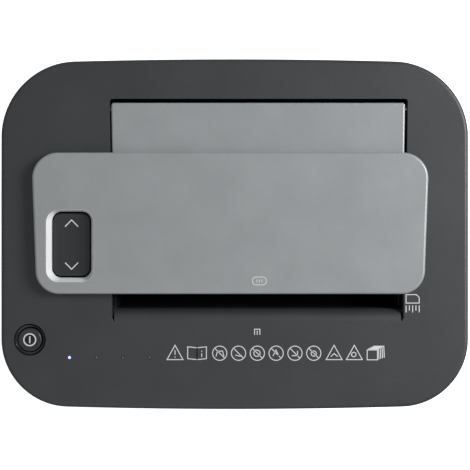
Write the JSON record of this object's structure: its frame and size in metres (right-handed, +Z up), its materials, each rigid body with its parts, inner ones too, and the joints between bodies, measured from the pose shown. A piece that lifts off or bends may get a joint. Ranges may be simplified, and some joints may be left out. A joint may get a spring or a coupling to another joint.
{
  "type": "paper shredder",
  "caption": "Cabinet paper shredder: dark rounded head with a lidded pile-feed tray and a manual slot over a pull-out bin on castors.",
  "frame": {"origin": "on the floor, under the middle of the machine's bounding box", "axes": "+Z up, -Y towards the user in front of the machine, +X to the user's right"},
  "size_m": [0.5, 0.375, 0.632],
  "materials": {
    "deck_abs": "fine spark-textured dark grey ABS",
    "lid_abs": "satin silver-grey painted ABS",
    "black_abs": "matte black ABS",
    "clear_plastic": "clear acrylic",
    "smoked_plastic": "smoked clear plastic",
    "circuit_board": "green solder mask",
    "steel": "turned and ground steel",
    "zinc_plate": "zinc-plated steel",
    "nylon": "natural nylon",
    "rubber": "black rubber",
    "chipboard": "dark melamine-faced chipboard"
  },
  "bodies": {
    "base": {"top_deck": "deck_abs", "tray_well": "black_abs", "throat_guide": "black_abs", "rocker_housing": "black_abs", "button_spring": "steel", "light_pipe": "clear_plastic", "control_board": "circuit_board", "lid_hinge_pin_left": "steel", "lid_hinge_pin_right": "steel", "gear_cover": "black_abs", "motor": "zinc_plate", "side_plate_left": "zinc_plate", "side_plate_right": "zinc_plate", "tie_rod_front": "zinc_plate", "tie_rod_rear": "zinc_plate", "stripper_comb_front": "nylon", "stripper_comb_rear": "nylon", "bearing_front_left": "nylon", "bearing_rear_left": "nylon", "bearing_front_right": "nylon", "bearing_rear_right": "nylon", "head_base": "black_abs", "cabinet_shell": "deck_abs", "base_board": "chipboard", "back_panel": "deck_abs", "power_inlet": "black_abs", "slide_rail_left": "nylon", "slide_rail_right": "nylon"},
    "lid": {"lid_panel": "lid_abs", "lid_liner": "black_abs", "pressure_spring_left": "steel", "pressure_spring_right": "steel"},
    "pressure_plate": {"pressure_plate": "black_abs"},
    "rocker": {"rocker": "black_abs"},
    "power_button": {"power_button": "deck_abs"},
    "front_roll": {"cutter_roll_front": "steel", "cutter_gear_front": "steel", "drive_gear": "nylon"},
    "rear_roll": {"cutter_roll_rear": "steel", "cutter_gear_rear": "steel"},
    "idler": {"idler_gear": "nylon"},
    "feed_rollers": {"feed_shaft": "steel", "feed_roller_left": "rubber", "feed_roller_right": "rubber", "feed_gear": "nylon"},
    "motor_rotor": {"motor_pinion": "steel"},
    "bin": {"bin_tub": "black_abs", "bin_front": "deck_abs", "bin_window": "smoked_plastic", "bin_handle": "black_abs"},
    "castor_front_left": {"castor_fork_front_left": "black_abs"},
    "wheel_front_left": {"castor_wheel_front_left": "rubber"},
    "brake_front_left": {"castor_brake_front_left": "deck_abs"},
    "castor_front_right": {"castor_fork_front_right": "black_abs"},
    "wheel_front_right": {"castor_wheel_front_right": "rubber"},
    "brake_front_right": {"castor_brake_front_right": "deck_abs"},
    "castor_rear_left": {"castor_fork_rear_left": "black_abs"},
    "wheel_rear_left": {"castor_wheel_rear_left": "rubber"},
    "castor_rear_right": {"castor_fork_rear_right": "black_abs"},
    "wheel_rear_right": {"castor_wheel_rear_right": "rubber"}
  },
  "joints": [
    {"name": "lid_hinge", "type": "hinge", "parent": "base", "child": "lid", "pos_m": [0.0245, 0.1342, 0.613], "axis": [-1, 0, 0], "range_deg": [0, 75]},
    {"name": "pressure_plate_slide", "type": "slide", "parent": "lid", "child": "pressure_plate", "axis": [0, 0, 1], "range_m": [0, 0.014], "stiffness_N_per_m": 150, "springref_m": -0.02, "deforming": ["pressure_spring_left", "pressure_spring_right"]},
    {"name": "rocker_tilt", "type": "hinge", "parent": "base", "child": "rocker", "pos_m": [-0.1735, -0.0111, 0.612], "axis": [1, 0, 0], "range_deg": [-5, 5], "stiffness_Nm_per_rad": 0.3},
    {"name": "power_button_press", "type": "slide", "parent": "base", "child": "power_button", "axis": [0, 0, -1], "range_m": [0, 0.0025], "stiffness_N_per_m": 400, "springref_m": -0.003, "deforming": ["button_spring"]},
    {"name": "front_roll_spin", "type": "hinge", "parent": "base", "child": "front_roll", "pos_m": [0, -0.056, 0.505], "axis": [1, 0, 0], "continuous": true},
    {"name": "rear_roll_spin", "type": "hinge", "parent": "base", "child": "rear_roll", "pos_m": [0, -0.024, 0.505], "axis": [1, 0, 0], "continuous": true},
    {"name": "idler_spin", "type": "hinge", "parent": "base", "child": "idler", "pos_m": [0, 0.00185, 0.53553], "axis": [1, 0, 0], "continuous": true},
    {"name": "feed_roller_spin", "type": "hinge", "parent": "base", "child": "feed_rollers", "pos_m": [0, 0.02511, 0.563], "axis": [1, 0, 0], "continuous": true},
    {"name": "motor_spin", "type": "hinge", "parent": "base", "child": "motor_rotor", "pos_m": [0, -0.0035, 0.505], "axis": [1, 0, 0], "continuous": true},
    {"name": "bin_slide", "type": "slide", "parent": "base", "child": "bin", "axis": [0, -1, 0], "range_m": [0, 0.3]},
    {"name": "castor_swivel_front_left", "type": "hinge", "parent": "base", "child": "castor_front_left", "pos_m": [-0.205, -0.128, 0.05], "axis": [0, 0, 1], "continuous": true},
    {"name": "castor_roll_front_left", "type": "hinge", "parent": "castor_front_left", "child": "wheel_front_left", "pos_m": [-0.205, -0.142, 0.02], "axis": [1, 0, 0], "continuous": true},
    {"name": "castor_brake_press_front_left", "type": "hinge", "parent": "castor_front_left", "child": "brake_front_left", "pos_m": [-0.205, -0.159, 0.036], "axis": [1, 0, 0], "range_deg": [0, 15]},
    {"name": "castor_swivel_front_right", "type": "hinge", "parent": "base", "child": "castor_front_right", "pos_m": [0.205, -0.128, 0.05], "axis": [0, 0, 1], "continuous": true},
    {"name": "castor_roll_front_right", "type": "hinge", "parent": "castor_front_right", "child": "wheel_front_right", "pos_m": [0.205, -0.142, 0.02], "axis": [1, 0, 0], "continuous": true},
    {"name": "castor_brake_press_front_right", "type": "hinge", "parent": "castor_front_right", "child": "brake_front_right", "pos_m": [0.205, -0.159, 0.036], "axis": [1, 0, 0], "range_deg": [0, 15]},
    {"name": "castor_swivel_rear_left", "type": "hinge", "parent": "base", "child": "castor_rear_left", "pos_m": [-0.205, 0.128, 0.05], "axis": [0, 0, 1], "continuous": true},
    {"name": "castor_roll_rear_left", "type": "hinge", "parent": "castor_rear_left", "child": "wheel_rear_left", "pos_m": [-0.205, 0.114, 0.02], "axis": [1, 0, 0], "continuous": true},
    {"name": "castor_swivel_rear_right", "type": "hinge", "parent": "base", "child": "castor_rear_right", "pos_m": [0.205, 0.128, 0.05], "axis": [0, 0, 1], "continuous": true},
    {"name": "castor_roll_rear_right", "type": "hinge", "parent": "castor_rear_right", "child": "wheel_rear_right", "pos_m": [0.205, 0.114, 0.02], "axis": [1, 0, 0], "continuous": true}
  ],
  "couplings": [
    {"joint": "rear_roll_spin", "follows": "front_roll_spin", "ratio": -1},
    {"joint": "idler_spin", "follows": "front_roll_spin", "ratio": 0.66667},
    {"joint": "feed_roller_spin", "follows": "front_roll_spin", "ratio": -1.3333},
    {"joint": "motor_spin", "follows": "front_roll_spin", "ratio": -4}
  ]
}
